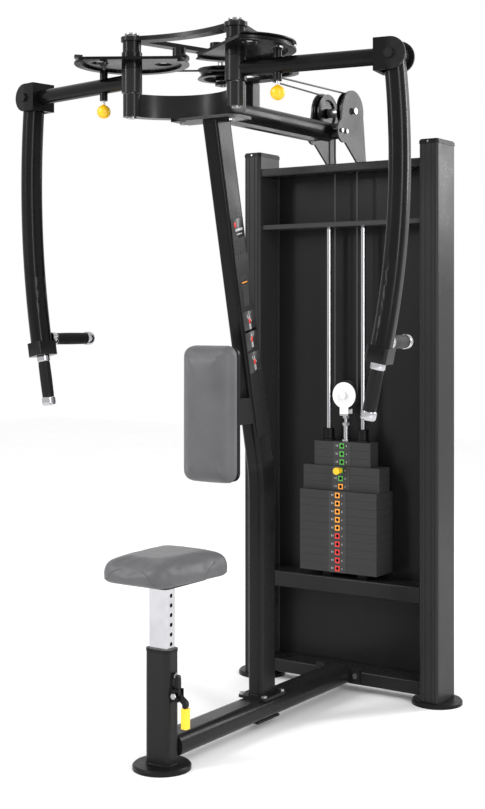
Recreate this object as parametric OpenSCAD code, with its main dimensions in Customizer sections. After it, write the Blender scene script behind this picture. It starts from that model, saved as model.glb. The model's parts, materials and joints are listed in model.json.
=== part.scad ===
// Pec fly and rear delt machine with a selectorised weight stack.
// +X is the user's left-to-right width, +Y runs from the seat back to the weight tower, +Z is up.
// The origin lies on the floor, under the centre of the machine's box.

/* [Base] */
// Distance from the seat post to the centre of the weight tower
tower_dist = 950; // [920:5:980]
// Radius of each floor disc
foot_r = 76.5; // [70:0.5:80]
// Thickness of each floor disc
foot_t = 14; // [10:1:18]
// Width of the flat-oval base beam
beam_w = 92; // [80:1:100]
// Height of the flat-oval base beam
beam_h = 56; // [50:1:60]
// Wall thickness of the steel tubes
tube_wall = 3; // [2:0.5:4]

/* [Seat] */
// Width of the seat sleeve
sleeve_w = 76; // [74:1:80]
// Depth of the seat sleeve
sleeve_d = 52; // [50:1:56]
// Height of the top of the seat sleeve
sleeve_top = 304; // [290:1:315]
// Width of the chrome seat post
post_w = 60; // [56:1:62]
// Depth of the chrome seat post
post_d = 36; // [32:1:38]
// Pitch of the height holes in the seat post
hole_pitch = 25; // [20:1:28]
// Height of the underside of the seat pad at rest
seat_z = 490; // [480:1:520]
// Thickness of the seat pad
seat_t = 66; // [55:1:75]
// Length of the seat pad
seat_len = 300; // [280:5:320]
// Width of the seat pad at its rear edge
seat_w = 250; // [230:5:260]

/* [Mast and back pad] */
// Distance from the seat post to the foot of the mast
mast_dist = 469; // [450:1:490]
// Width of the mast tube
mast_w = 48; // [44:1:54]
// Depth of the mast tube
mast_d = 80; // [70:1:86]
// Height of the bend in the mast
bend_z = 712; // [680:1:740]
// Lean of the mast above the bend
mast_lean = 12.8; // [12:0.1:13.5]
// Height of the top of the mast
mast_top = 1700; // [1695:1:1702]
// Width of the back pad
pad_w = 174; // [165:1:180]
// Height of the back pad
pad_h = 380; // [365:1:390]
// Thickness of the back pad
pad_t = 62; // [55:1:64]
// Height of the lower edge of the back pad
pad_z = 714; // [705:1:725]
// Distance from the seat post to the front of the back pad
pad_dist = 170; // [164:1:176]

/* [Arms] */
// Half of the distance between the two arm pivots
pivot_x = 171; // [165:1:178]
// Distance from the seat post to the arm pivots
pivot_dist = 89; // [84:1:94]
// Height of the centre line of the upper arms
arm_z = 1805; // [1804:1:1806]
// Length of an upper arm from its pivot to the elbow bolt
arm_len = 427; // [410:1:440]
// Angle by which the upper arms sweep back at rest
arm_sweep = 9.5; // [8:0.5:11]
// Outer diameter of the upper arm tube
arm_d = 42; // [38:1:44]
// Width of the flat-oval down arm
fore_w = 50; // [46:1:54]
// Depth of the flat-oval down arm
fore_t = 62; // [58:1:66]
// Bend radius of the down arm
fore_r = 2300; // [2100:50:2500]
// Outward lean of the down arm at the elbow
fore_lean = 6.3; // [5:0.1:7]
// Arc of the down arm from the elbow to its end block
fore_arc = 17.8; // [17.4:0.1:18.2]
// Diameter of the hand grips
grip_d = 34; // [30:1:36]
// Length of the upright hand grips
grip_len = 104; // [95:1:110]
// Length of the level hand grips
level_grip_len = 114; // [105:1:125]

/* [Cams and cable] */
// Radius of the cable's centre line on the cams
cam_r = 150; // [145:1:152]
// Height of the cable's centre line on the cams and idlers
cable_z = 1860; // [1858:1:1862]
// Radius of the pull pins' index circle
pin_radius = 117; // [112:1:120]
// Diameter of the steel cable
cable_d = 5.5; // [5:0.5:6]
// Radius of the cable's centre line on the idlers
idler_r = 66; // [60:1:68]
// Half of the distance between the idlers
idler_x = 86; // [84:1:90]
// Distance from the seat post to the idlers
idler_dist = 396; // [390:1:402]
// Radius of the cable's centre line on the top pulleys
top_r = 54; // [52:1:56]
// Half of the distance between the two cable drops
drop_x = 40; // [38:1:42]

/* [Tower] */
// Half of the distance between the tower columns
column_x = 317; // [310:1:322]
// Width of a tower column
column_w = 62; // [58:1:66]
// Depth of a tower column
column_d = 120; // [112:1:124]
// Height of the tower over its caps
tower_h = 1702; // [1695:1:1710]
// Half of the distance between the guide rods
rod_x = 62; // [58:1:66]
// Diameter of the guide rods
rod_d = 16; // [14:1:18]
// Height of the underside of the lowest weight plate
stack_z = 370; // [368:1:374]
// Pitch of the weight plates
plate_pitch = 25.4; // [25:0.1:26]
// Gap between two stacked plates
plate_gap = 0.4; // [0.3:0.1:0.6]
// Height of the moving pulley's axle above the floor
moving_z = 922; // [915:1:930]

/* [Hidden] */
$fn = 64;

// Places along Y, from the seat post back
seat_shift = 10;
seat_front = seat_len / 2 - seat_shift;
seat_y = -(tower_dist + foot_r - seat_front) / 2;
mast_y = seat_y + mast_dist;
pivot_y = seat_y + pivot_dist;
pad_y = seat_y + pad_dist;
idler_y = seat_y + idler_dist;
tower_y = seat_y + tower_dist;
axle_y = tower_y - top_r;
axle_z = cable_z - top_r;

// Base and seat
beam_z = 27;
beam_top = beam_z + beam_h;
bottom_beam_d = 92;
bottom_beam_h = 42;
mast_foot_w = 94;
mast_foot_d = 110;
mast_foot_t = 8;
sleeve_wall = 4;
sleeve_corner = 14;
bush_h = 8;
post_corner = 5;
post_wall = 3;
post_depth = 155;
hole_r = 5.5;
board_t = 10;

// Pivot stack, from the yoke up to the bridge
shaft_r = 12.5;
run_gap = 0.06;
yoke_z = 1708;
yoke_h = 62;
boss_r = 24;
hub_r = 28;
arm_hub_z = 1773;
arm_hub_h = 64;
cam_hub_z = 1838;
cam_hub_h = 44;
bridge_z = 1912;
bridge_t = 12;
bridge_boss_z = 1884;
bridge_boss_r = 25;
shaft_top = 1930;

// Yoke band, an arc in plan from one pivot to the other
yoke_centre_y = pivot_y - 53;
yoke_r = norm([pivot_x, pivot_y - yoke_centre_y]);
yoke_start = atan2(pivot_y - yoke_centre_y, pivot_x);
yoke_t = 36;
yoke_back = yoke_centre_y + yoke_r + yoke_t / 2 + 6;

// Cams
cam_t = 8;
rim_h = 20;
rim_out = cam_r + 6;
groove_gap = 0.3;
groove_r = cam_r - cable_d / 2 - groove_gap;
cam_cut = 52;
cam_cut_dir = -58;
cam_start = cam_cut_dir + acos(cam_cut / rim_out);
cam_end = cam_cut_dir + 360 - acos(cam_cut / rim_out);
pin_r = 5;
pin_slack = 0.6;
index_step = 13;
index_count = 6;

// Elbow and down arm
elbow_gap = fore_t / 2 + 2;
plate_t = 6;
elbow_r = 40;
elbow_back = 42;
elbow_wall_t = 6;
flange_len = 12;
elbow_bolt_r = 8;
block_h = 40;
block_lip = 3;
handle_angle = fore_arc - 0.25;
top_beam_z = 1739;
top_beam_r = 29;
cross_y = seat_y + 838;
cross_r = 24;

// Tower
cap_t = 14;
stack_beam_h = 50;
plate_t_z = plate_pitch - plate_gap;
parked = 12;
lifted = 4;
stack_top = stack_z + (parked + lifted) * plate_pitch;
stem_r = 10;
pin_hole_r = 4.6;
selector_r = 4.2;
label_t = 0.8;
shelf_z = 1452;
crossbar_z = 1622;
axle_r = 8;
bracket_x = 54;
bracket_t = 6;

// Cable geometry on the left side; the right side is its mirror image
line_dx = pivot_x - idler_x;
line_dy = idler_y - pivot_y;
line_len = norm([line_dx, line_dy]);
line_dir = atan2(line_dy, line_dx);
cross_angle = acos((cam_r + idler_r) / line_len);
leave_angle = line_dir + cross_angle;
anchor_angle = 150;
reach_dx = idler_x - drop_x;
reach_dy = axle_y - idler_y;
reach_len = norm([reach_dx, reach_dy]);
exit_angle = atan2(reach_dy, reach_dx) - acos(idler_r / reach_len);
enter_angle = leave_angle - 180;

// ---- shared shapes ----

module mirrored() {
    children();
    mirror([1, 0, 0]) children();
}

module rounded(w, d, r) {
    square([w - 2 * r, d], center = true);
    square([w, d - 2 * r], center = true);
    for (sx = [-1, 1], sy = [-1, 1]) {
        translate([sx * (w / 2 - r), sy * (d / 2 - r)]) circle(r);
    }
}

module rounded_tube(w, d, r, wall) {
    difference() {
        rounded(w, d, r);
        rounded(w - 2 * wall, d - 2 * wall, r - wall);
    }
}

// Rod between two points
module rod(a, b, r) {
    v = b - a;
    translate(a)
        rotate([0, acos(v[2] / norm(v)), atan2(v[1], v[0])])
            cylinder(r = r, h = norm(v));
}

module along_y(y0, y1) {
    translate([0, y0, 0]) rotate([90, 0, 180]) mirror([1, 0, 0]) linear_extrude(y1 - y0) children();
}

module along_x(x0, x1) {
    translate([x0, 0, 0]) rotate([90, 0, 90]) linear_extrude(x1 - x0) children();
}

// Grooved wheel around Z, centred on its groove
module wheel(path_r, width, hub_width, hub_radius, bore_r) {
    rim = path_r + 6;
    floor_r = path_r - cable_d / 2 - groove_gap;
    web = width * 0.35;
    difference() {
        rotate_extrude($fn = 96) polygon([
            [bore_r, -hub_width / 2], [hub_radius, -hub_width / 2], [hub_radius, -web / 2],
            [floor_r - 12, -web / 2], [floor_r - 8, -width / 2], [rim, -width / 2],
            [rim, -width / 2 + 2], [floor_r, -cable_d / 2 - groove_gap], [floor_r, cable_d / 2 + groove_gap],
            [rim, width / 2 - 2], [rim, width / 2], [floor_r - 8, width / 2],
            [floor_r - 12, web / 2], [hub_radius, web / 2], [hub_radius, hub_width / 2], [bore_r, hub_width / 2]
        ]);
    }
}

// Plate outline helpers
module bar2d(a, b, w) {
    hull() {
        translate(a) circle(w / 2, $fn = 32);
        translate(b) circle(w / 2, $fn = 32);
    }
}

module ring_arc(radius, thick, a0, a1) {
    difference() {
        intersection() {
            circle(radius + thick / 2, $fn = 128);
            sector(radius + thick, a0, a1);
        }
        circle(radius - thick / 2, $fn = 128);
    }
}

module sector(radius, a0, a1) {
    steps = 6;
    polygon(concat([[0, 0]], [for (i = [0 : steps])
        let (a = a0 + (a1 - a0) * i / steps)
        1.3 * radius * [cos(a), sin(a)]]));
}

// ---- base ----

module floor_feet() {
    profile = [[0, 0], [foot_r, 0], [foot_r, foot_t - 4], [foot_r - 4, foot_t], [0, foot_t]];
    color("black") for (p = [[0, seat_y], [-column_x, tower_y], [column_x, tower_y]]) {
        translate([p[0], p[1], 0]) rotate_extrude($fn = 96) polygon(profile);
    }
}

module seat_sleeve() {
    color([0.17, 0.17, 0.18]) translate([0, seat_y, foot_t]) difference() {
        linear_extrude(sleeve_top - foot_t) rounded(sleeve_w, sleeve_d, sleeve_corner);
        translate([0, 0, 6]) linear_extrude(sleeve_top)
            rounded(sleeve_w - 2 * sleeve_wall, sleeve_d - 2 * sleeve_wall, sleeve_corner - sleeve_wall);
    }
}

module sleeve_bush() {
    lip = 1;
    color("black") translate([0, seat_y, 0]) difference() {
        union() {
            translate([0, 0, sleeve_top]) linear_extrude(bush_h)
                rounded(sleeve_w + 2 * lip, sleeve_d + 2 * lip, sleeve_corner + lip);
            translate([0, 0, sleeve_top - 50]) linear_extrude(50)
                rounded(sleeve_w - 2 * sleeve_wall, sleeve_d - 2 * sleeve_wall, sleeve_corner - sleeve_wall);
        }
        translate([0, 0, sleeve_top - 60]) linear_extrude(80)
            rounded(post_w + 0.8, post_d + 0.8, post_corner + 0.4);
    }
}

lever_z = 197;
lever_x = sleeve_w / 2 + 14;
lever_w = 13;
lever_reach = 24;
lever_drop = 31;

module lever_bracket() {
    ear_y = 8.5;
    color([0.12, 0.12, 0.12]) translate([0, seat_y, 0]) {
        translate([sleeve_w / 2, -12, lever_z - 20]) cube([4, 24, 40]);
        for (sy = [-1, 1]) difference() {
            translate([sleeve_w / 2 + 4, sy * (ear_y + 1.5) - 1.5, lever_z - 16]) cube([20, 3, 32]);
            translate([lever_x, sy * (ear_y + 1.5) + 2, lever_z]) rotate([90, 0, 0]) cylinder(r = 4, h = 4);
        }
    }
    color("silver") translate([lever_x, seat_y, lever_z]) {
        rotate([90, 0, 0]) translate([0, 0, -13]) cylinder(r = 4, h = 26);
        translate([0, -13, 0]) rotate([90, 0, 0]) cylinder(r = 7, h = 4, $fn = 6);
    }
    color("silver") translate([sleeve_w / 2, seat_y, lever_z + 48]) rotate([0, 90, 0]) cylinder(r = 8, h = 4);
}

module base_beam() {
    front = seat_y + sleeve_d / 2;
    corner = beam_h / 2 - 4;
    color([0.1, 0.1, 0.11]) {
        along_y(front + tube_wall, tower_y - bottom_beam_d / 2)
            translate([0, beam_z + beam_h / 2]) rounded_tube(beam_w, beam_h, corner, tube_wall);
        along_y(front, front + tube_wall) translate([0, beam_z + beam_h / 2]) rounded(beam_w, beam_h, corner);
    }
}

module joint_plates() {
    lug_w = 31;
    lug_t = 6;
    under_w = 68;
    under_d = 110;
    color([0.1, 0.1, 0.11]) {
        translate([0, mast_y, beam_top]) linear_extrude(mast_foot_t) rounded(mast_foot_w, mast_foot_d, 8);
        for (s = [0, 1]) mirror([s, 0, 0]) {
            translate([beam_w / 2 + 0.5, tower_y - bottom_beam_d / 2 - lug_t, beam_z + 3])
                cube([lug_w, lug_t, 52]);
        }
        translate([-under_w / 2, mast_y - 70, beam_z - lug_t]) cube([under_w, under_d, lug_t]);
    }
}

module mast() {
    bend_r = 420;
    bend_len = bend_r * tan(mast_lean / 2);
    upper = (mast_top - bend_z) / cos(mast_lean) - bend_len;
    foot_top = beam_top + mast_foot_t;
    color([0.13, 0.13, 0.14]) {
        translate([0, mast_y, foot_top]) linear_extrude(bend_z - bend_len - foot_top)
            rounded_tube(mast_w, mast_d, 12, tube_wall);
        translate([0, mast_y - bend_r, bend_z - bend_len]) rotate([0, 90, 0]) rotate([0, 0, 90])
            rotate_extrude(angle = mast_lean, $fn = 360) translate([bend_r, 0]) rotate(90)
                rounded_tube(mast_w, mast_d, 12, tube_wall);
        intersection() {
            translate([0, mast_y, bend_z]) rotate([mast_lean, 0, 0]) translate([0, 0, bend_len])
                linear_extrude(upper + 60) rounded_tube(mast_w, mast_d, 12, tube_wall);
            translate([-100, seat_y, 0]) cube([200, 600, mast_top]);
        }
        translate([-104, yoke_centre_y + yoke_r - 40, mast_top]) cube([208, 84, yoke_z - mast_top]);
    }
}

// Frame that follows the mast's leaning part: origin at the bend, +Z up the mast
module on_mast() {
    translate([0, mast_y, bend_z]) rotate([mast_lean, 0, 0]) children();
}

module mast_placard() {
    margin = 8;
    color("black") on_mast() translate([mast_w / 2, -mast_d / 2 + margin, 125])
        cube([1.2, mast_d - 2 * margin, 520]);
}

module pad_stub() {
    stub_z = pad_z + pad_h / 2;
    y1 = mast_y - (stub_z - bend_z) * tan(mast_lean) - mast_d / 2 / cos(mast_lean);
    y0 = pad_y + pad_t + board_t;
    color([0.12, 0.12, 0.12]) difference() {
        translate([-22, y0, stub_z - 37]) cube([44, y1 - y0 + 30, 74]);
        translate([0, mast_y, bend_z]) rotate([mast_lean, 0, 0])
            translate([-mast_w / 2 - 5, -mast_d / 2, 0]) cube([mast_w + 10, mast_d, 500]);
    }
}

module backrest_board() {
    color("black") along_y(pad_y + pad_t, pad_y + pad_t + board_t)
        translate([0, pad_z + pad_h / 2]) rounded(pad_w - 14, pad_h - 14, 24);
}

module backrest_pad() {
    color("dimgray") along_y(pad_y, pad_y + pad_t)
        translate([0, pad_z + pad_h / 2]) rounded(pad_w, pad_h, 26);
}

// ---- head: yoke, bridge, post, beam ----

module yoke() {
    color([0.12, 0.12, 0.13]) difference() {
        union() {
            translate([0, yoke_centre_y, yoke_z]) linear_extrude(yoke_h)
                ring_arc(yoke_r, yoke_t, yoke_start, 180 - yoke_start);
            mirrored() translate([pivot_x, pivot_y, yoke_z]) cylinder(r = boss_r, h = yoke_h);
            translate([-34, yoke_centre_y + yoke_r, yoke_z])
                cube([68, yoke_back - yoke_centre_y - yoke_r, yoke_h]);
        }
        mirrored() translate([pivot_x, pivot_y, yoke_z - 1]) cylinder(r = shaft_r, h = yoke_h + 2);
    }
}

module rear_post() {
    post_side = 40;
    carrier_z = cable_z - 32;
    color([0.12, 0.12, 0.13]) {
        translate([0, idler_y + 14, top_beam_z + 22]) linear_extrude(carrier_z - top_beam_z - 22)
            rounded(post_side, post_side, 4);
        difference() {
            translate([0, 0, carrier_z]) linear_extrude(10)
                bar2d([-idler_x, idler_y], [idler_x, idler_y], 44);
            mirrored() translate([idler_x, idler_y, carrier_z - 1]) cylinder(r = axle_r, h = 12);
        }
    }
}

module bridge_plate() {
    arc_r = 420;
    arc_y = pivot_y - sqrt(arc_r * arc_r - pivot_x * pivot_x);
    half = asin(pivot_x / arc_r);
    color([0.12, 0.12, 0.13]) difference() {
        union() {
            translate([0, 0, bridge_z]) linear_extrude(bridge_t) {
                translate([0, arc_y]) ring_arc(arc_r, 40, 90 - half, 90 + half);
                mirrored() bar2d([pivot_x, pivot_y], [idler_x, idler_y], 34);
                mirrored() translate([pivot_x, pivot_y]) circle(30);
            }
            mirrored() translate([pivot_x, pivot_y, bridge_boss_z])
                cylinder(r = bridge_boss_r, h = bridge_z - bridge_boss_z);
        }
        mirrored() translate([pivot_x, pivot_y, bridge_boss_z - 1]) cylinder(r = shaft_r, h = 60);
        mirrored() translate([idler_x, idler_y, bridge_z - 1]) cylinder(r = axle_r, h = 20);
    }
}

module pivot_shafts() {
    color("silver") mirrored() translate([pivot_x, pivot_y, 0]) {
        translate([0, 0, yoke_z - 4]) cylinder(r = shaft_r, h = shaft_top - yoke_z + 4);
        translate([0, 0, shaft_top]) cylinder(r = shaft_r + 7, h = 4);
    }
}

module top_beam() {
    color([0.13, 0.13, 0.14]) difference() {
        union() {
            translate([0, yoke_back, top_beam_z]) rotate([-90, 0, 0]) cylinder(r = top_beam_r, h = cross_y - yoke_back);
            translate([-bracket_x + bracket_t / 2, cross_y, top_beam_z]) rotate([0, 90, 0])
                cylinder(r = cross_r, h = 2 * bracket_x - bracket_t);
        }
        translate([0, yoke_back - 1, top_beam_z]) rotate([-90, 0, 0])
            cylinder(r = top_beam_r - tube_wall, h = cross_y - yoke_back - top_beam_r - 20);
        translate([-30, idler_y + 14 - 20, top_beam_z + 22]) cube([60, 40, 20]);
    }
    color("black") translate([-12, yoke_back + 30, top_beam_z - top_beam_r - 8])
        cube([24, cross_y - yoke_back - 130, 9]);
}

module bracket_outline() {
    leg_y = tower_y;
    translate([axle_y, axle_z]) circle(64);
    translate([cross_y, top_beam_z]) circle(36);
    polygon([
        [cross_y - 14, top_beam_z + 33], [axle_y - 58, axle_z + 28], [axle_y + 63, axle_z - 10],
        [leg_y + 28, crossbar_z + 26], [leg_y - 28, crossbar_z + 26], [cross_y + 10, top_beam_z - 34.5]
    ]);
}

module pulley_bracket() {
    color([0.14, 0.14, 0.15]) for (s = [-1, 1]) {
        difference() {
            along_x(s * bracket_x - bracket_t / 2, s * bracket_x + bracket_t / 2) bracket_outline();
            translate([s * bracket_x - 10, axle_y, axle_z]) rotate([0, 90, 0]) cylinder(r = axle_r, h = 20);
        }
    }
}

module pulley_axles() {
    reach = bracket_x + bracket_t / 2 + 5;
    color("silver") {
        translate([-reach, axle_y, axle_z]) rotate([0, 90, 0]) cylinder(r = axle_r, h = 2 * reach);
        for (s = [-1, 1]) translate([s * reach, axle_y, axle_z]) rotate([0, s * 90, 0])
            cylinder(r = 11, h = 5, $fn = 6);
        translate([-drop_x + 11, axle_y, axle_z]) rotate([0, 90, 0]) difference() {
            cylinder(r = 14, h = 2 * drop_x - 22);
            translate([0, 0, -1]) cylinder(r = axle_r, h = 2 * drop_x);
        }
        mirrored() translate([idler_x, idler_y, 0]) {
            translate([0, 0, cable_z - 36]) cylinder(r = axle_r, h = bridge_z + bridge_t + 6 - cable_z + 36);
            translate([0, 0, bridge_z + bridge_t]) cylinder(r = 13, h = 8, $fn = 6);
            translate([0, 0, cable_z + 19]) difference() {
                cylinder(r = 14, h = bridge_z - cable_z - 19);
                translate([0, 0, -1]) cylinder(r = axle_r, h = 60);
            }
        }
    }
}

// ---- tower ----

module column_shape() {
    difference() {
        rounded_tube(column_w, column_d, 8, 2.5);
        for (sx = [-1, 1], gx = [0.16, 0.36]) translate([sx * gx * column_w, -column_d / 2]) circle(1.6);
    }
}

module tower_column() {
    translate([column_x, tower_y, foot_t]) linear_extrude(tower_h - cap_t - foot_t) column_shape();
}

module tower_column_left() {
    color([0.16, 0.16, 0.17]) mirror([1, 0, 0]) tower_column();
}

module tower_column_right() {
    color([0.16, 0.16, 0.17]) tower_column();
}

module column_caps() {
    color("black") mirrored() translate([column_x, tower_y, tower_h - cap_t]) {
        linear_extrude(cap_t - 4) rounded(column_w + 3, column_d + 3, 9);
        translate([0, 0, cap_t - 4]) linear_extrude(4) rounded(column_w - 3, column_d - 3, 7);
    }
}

inner_x = column_x - column_w / 2;

module top_crossbar() {
    color([0.13, 0.13, 0.14]) difference() {
        along_x(-inner_x, inner_x) translate([tower_y - 4, crossbar_z + 13]) rounded_tube(96, 26, 4, 2);
        for (sx = [-1, 1]) translate([sx * drop_x, tower_y, crossbar_z - 1]) cylinder(r = 9, h = 30);
    }
}

module shelf_bar() {
    color([0.2, 0.2, 0.21]) difference() {
        translate([-inner_x, tower_y - 46, shelf_z]) cube([2 * inner_x, 92, 14]);
        for (sx = [-1, 1]) translate([sx * rod_x, tower_y, shelf_z - 1]) cylinder(r = rod_d / 2, h = 20);
        for (sx = [-1, 1]) translate([sx * drop_x, tower_y, shelf_z - 1]) cylinder(r = 9, h = 20);
    }
}

module stack_beam() {
    color([0.15, 0.15, 0.16]) along_x(-inner_x, inner_x)
        translate([tower_y - 2, stack_z - 16 - stack_beam_h / 2]) rounded_tube(108, stack_beam_h, 5, 3);
}

module bottom_beam() {
    color([0.12, 0.12, 0.13]) along_x(-inner_x, inner_x)
        translate([tower_y, beam_z + bottom_beam_h / 2]) rounded_tube(bottom_beam_d, bottom_beam_h, 5, 3);
}

module back_panel() {
    inset = 6;
    color([0.05, 0.05, 0.05]) translate([-inner_x, tower_y + column_d / 2 - inset, beam_z])
        cube([2 * inner_x, 1.5, crossbar_z - beam_z + 24]);
}

module guide_rods() {
    color("silver") for (sx = [-1, 1]) translate([sx * rod_x, tower_y, stack_z - 16])
        cylinder(r = rod_d / 2, h = shelf_z + 14 - stack_z + 16);
}

module stack_buffers() {
    color("black") for (sx = [-1, 1]) translate([sx * rod_x, tower_y, stack_z - 16]) difference() {
        cylinder(r = 22, h = 16);
        translate([0, 0, -1]) cylinder(r = rod_d / 2, h = 20);
    }
}

// One weight plate with its rod holes, stem hole and pin hole
module weight_plate(w, d) {
    difference() {
        translate([-w / 2, -d / 2, 0]) cube([w, d, plate_t_z]);
        for (sx = [-1, 1]) translate([sx * rod_x, 0, -1]) cylinder(r = rod_d / 2 + 1, h = 40);
        translate([0, 0, -1]) cylinder(r = stem_r + 1, h = 40);
        translate([0, 0, plate_t_z / 2]) rotate([90, 0, 0]) cylinder(r = pin_hole_r, h = d);
    }
}

// Width and depth of plate i, counted from the bottom
heavy = [276, 106];
middle = [274, 66];
light = [202, 50];

function plate_size(i) = i < 10 ? heavy : i < 13 ? middle : light;

module plate_at(i) {
    translate([0, tower_y, stack_z + i * plate_pitch]) weight_plate(plate_size(i)[0], plate_size(i)[1]);
}

module label_at(i) {
    side = 15;
    front = tower_y - plate_size(i)[1] / 2;
    translate([0, front, stack_z + i * plate_pitch + plate_t_z / 2]) rotate([90, 0, 0]) difference() {
        union() {
            translate([-32, -plate_t_z / 2, 0]) cube([64, plate_t_z, label_t]);
            translate([-side / 2, -side / 2, 0]) cube([side, side, 2 * label_t]);
        }
        translate([0, 0, -1]) cylinder(r = pin_hole_r, h = 6);
    }
}

module parked_plates() {
    color([0.08, 0.08, 0.08]) for (i = [0 : parked - 1]) plate_at(i);
}

module parked_labels() {
    for (i = [0 : parked - 1]) color(i < 5 ? "red" : i < 11 ? "orange" : "green") label_at(i);
}

module lifted_plates() {
    color([0.08, 0.08, 0.08]) for (i = [parked : parked + lifted - 1]) plate_at(i);
}

module lifted_labels() {
    color("green") for (i = [parked : parked + lifted - 1]) label_at(i);
}

module rod_bushes() {
    color("black") for (sx = [-1, 1]) translate([sx * rod_x, tower_y, stack_top]) rotate_extrude() polygon([
        [rod_d / 2 + 0.08, 0], [20, 0], [20, 6], [17, 8], [17, 38], [15, 40], [rod_d / 2 + 0.08, 40]
    ]);
}

module selector_stem() {
    color("silver") difference() {
        union() {
            translate([0, tower_y, stack_z + 3]) cylinder(r = stem_r, h = stack_top - stack_z - 3);
            translate([0, tower_y, stack_top]) cylinder(r = 15, h = 6);
        }
        for (i = [0 : parked + lifted - 1]) {
            translate([0, tower_y + 30, stack_z + i * plate_pitch + plate_t_z / 2])
                rotate([90, 0, 0]) cylinder(r = pin_hole_r, h = 60);
        }
    }
}

module hook_link() {
    z0 = stack_top + 6;
    color("silver") translate([0, tower_y, 0]) {
        translate([0, 0, z0]) cylinder(r = 8.5, h = 44);
        translate([0, 0, z0 + 44]) cylinder(r = 12, h = 9, $fn = 6);
        translate([0, 0, z0 + 53]) cylinder(r = 6, h = 14);
        translate([0, 0, z0 + 67]) cylinder(r = 11, h = 8, $fn = 6);
        translate([-15, -14, z0 + 75]) cube([30, 28, 6]);
    }
}

moving_r = drop_x;
cheek_r = 41;

module pulley_cheeks() {
    z0 = stack_top + 6 + 81;
    color("white") for (s = [-1, 1]) translate([0, tower_y + s * 12.5, 0]) difference() {
        union() {
            translate([0, 1.5, moving_z]) rotate([90, 0, 0]) cylinder(r = cheek_r, h = 3);
            translate([-15, -1.5, z0]) cube([30, 3, moving_z - z0]);
        }
        translate([0, 3, moving_z]) rotate([90, 0, 0]) cylinder(r = axle_r, h = 6);
    }
    color("silver") translate([0, tower_y, moving_z]) rotate([90, 0, 0]) {
        translate([0, 0, -18]) cylinder(r = axle_r, h = 36);
        translate([0, 0, 18]) cylinder(r = 11, h = 5, $fn = 6);
        translate([0, 0, -23]) cylinder(r = 11, h = 5, $fn = 6);
    }
}

module moving_pulley() {
    color("black") translate([0, tower_y, moving_z]) rotate([90, 0, 0])
        wheel(moving_r, 18, 20, 16, axle_r + run_gap);
}

module selector_pin() {
    z = stack_z + parked * plate_pitch + plate_t_z / 2;
    front = tower_y - middle[1] / 2 - 2 * label_t;
    color("gold") translate([0, front, z]) rotate([90, 0, 0]) {
        translate([0, 0, 0.4]) cylinder(r = 7, h = 5);
        translate([0, 0, 5.4]) cylinder(r1 = 9, r2 = 8, h = 14);
        translate([0, 0, 19.4]) cylinder(r = 11, h = 9);
    }
    color("silver") translate([0, front - 0.4, z]) rotate([-90, 0, 0])
        cylinder(r = selector_r, h = middle[1] / 2 + stem_r);
}

// ---- cable ----

module half_cable_run() {
    r = cable_d / 2;
    cam_c = [-pivot_x, pivot_y];
    idler_c = [-idler_x, idler_y];
    a = cam_c + cam_r * [cos(leave_angle), sin(leave_angle)];
    b = idler_c + idler_r * [cos(enter_angle), sin(enter_angle)];
    c = idler_c + idler_r * [cos(exit_angle), sin(exit_angle)];
    d = [-drop_x, axle_y];
    rod([a[0], a[1], cable_z], [b[0], b[1], cable_z], r);
    translate([idler_c[0], idler_c[1], cable_z]) rotate([0, 0, enter_angle])
        rotate_extrude(angle = exit_angle - enter_angle) translate([idler_r, 0]) circle(r, $fn = 24);
    rod([c[0], c[1], cable_z], [d[0], d[1], cable_z], r);
    translate([-drop_x, axle_y, axle_z]) rotate([0, -90, 0])
        rotate_extrude(angle = 90) translate([top_r, 0]) circle(r, $fn = 24);
}

module cable_run() {
    color([0.2, 0.2, 0.2]) mirrored() half_cable_run();
}

module cable_drops() {
    color([0.2, 0.2, 0.2]) mirrored() translate([drop_x, tower_y, moving_z])
        cylinder(r = cable_d / 2, h = axle_z - moving_z);
}

module cable_loop() {
    color([0.2, 0.2, 0.2]) translate([0, tower_y, moving_z]) rotate([-90, 0, 0])
        rotate_extrude(angle = 180) translate([moving_r, 0]) circle(cable_d / 2, $fn = 24);
}

module top_pulley(s) {
    color("black") translate([s * drop_x, axle_y, axle_z]) rotate([0, 90, 0])
        wheel(top_r, 18, 20, 16, axle_r + run_gap);
}

module top_pulley_left() {
    top_pulley(-1);
}

module top_pulley_right() {
    top_pulley(1);
}

module idler(s) {
    color("black") translate([s * idler_x, idler_y, cable_z])
        wheel(idler_r, 28, 36, 20, axle_r + run_gap);
}

module idler_left() {
    idler(-1);
}

module idler_right() {
    idler(1);
}

// ---- cams and arms, drawn for the left side ----

module cam_plate2d() {
    intersection() {
        circle(groove_r - 1, $fn = 128);
        rotate(cam_cut_dir) translate([-300, -300]) square([300 + cam_cut, 600]);
    }
}

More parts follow.
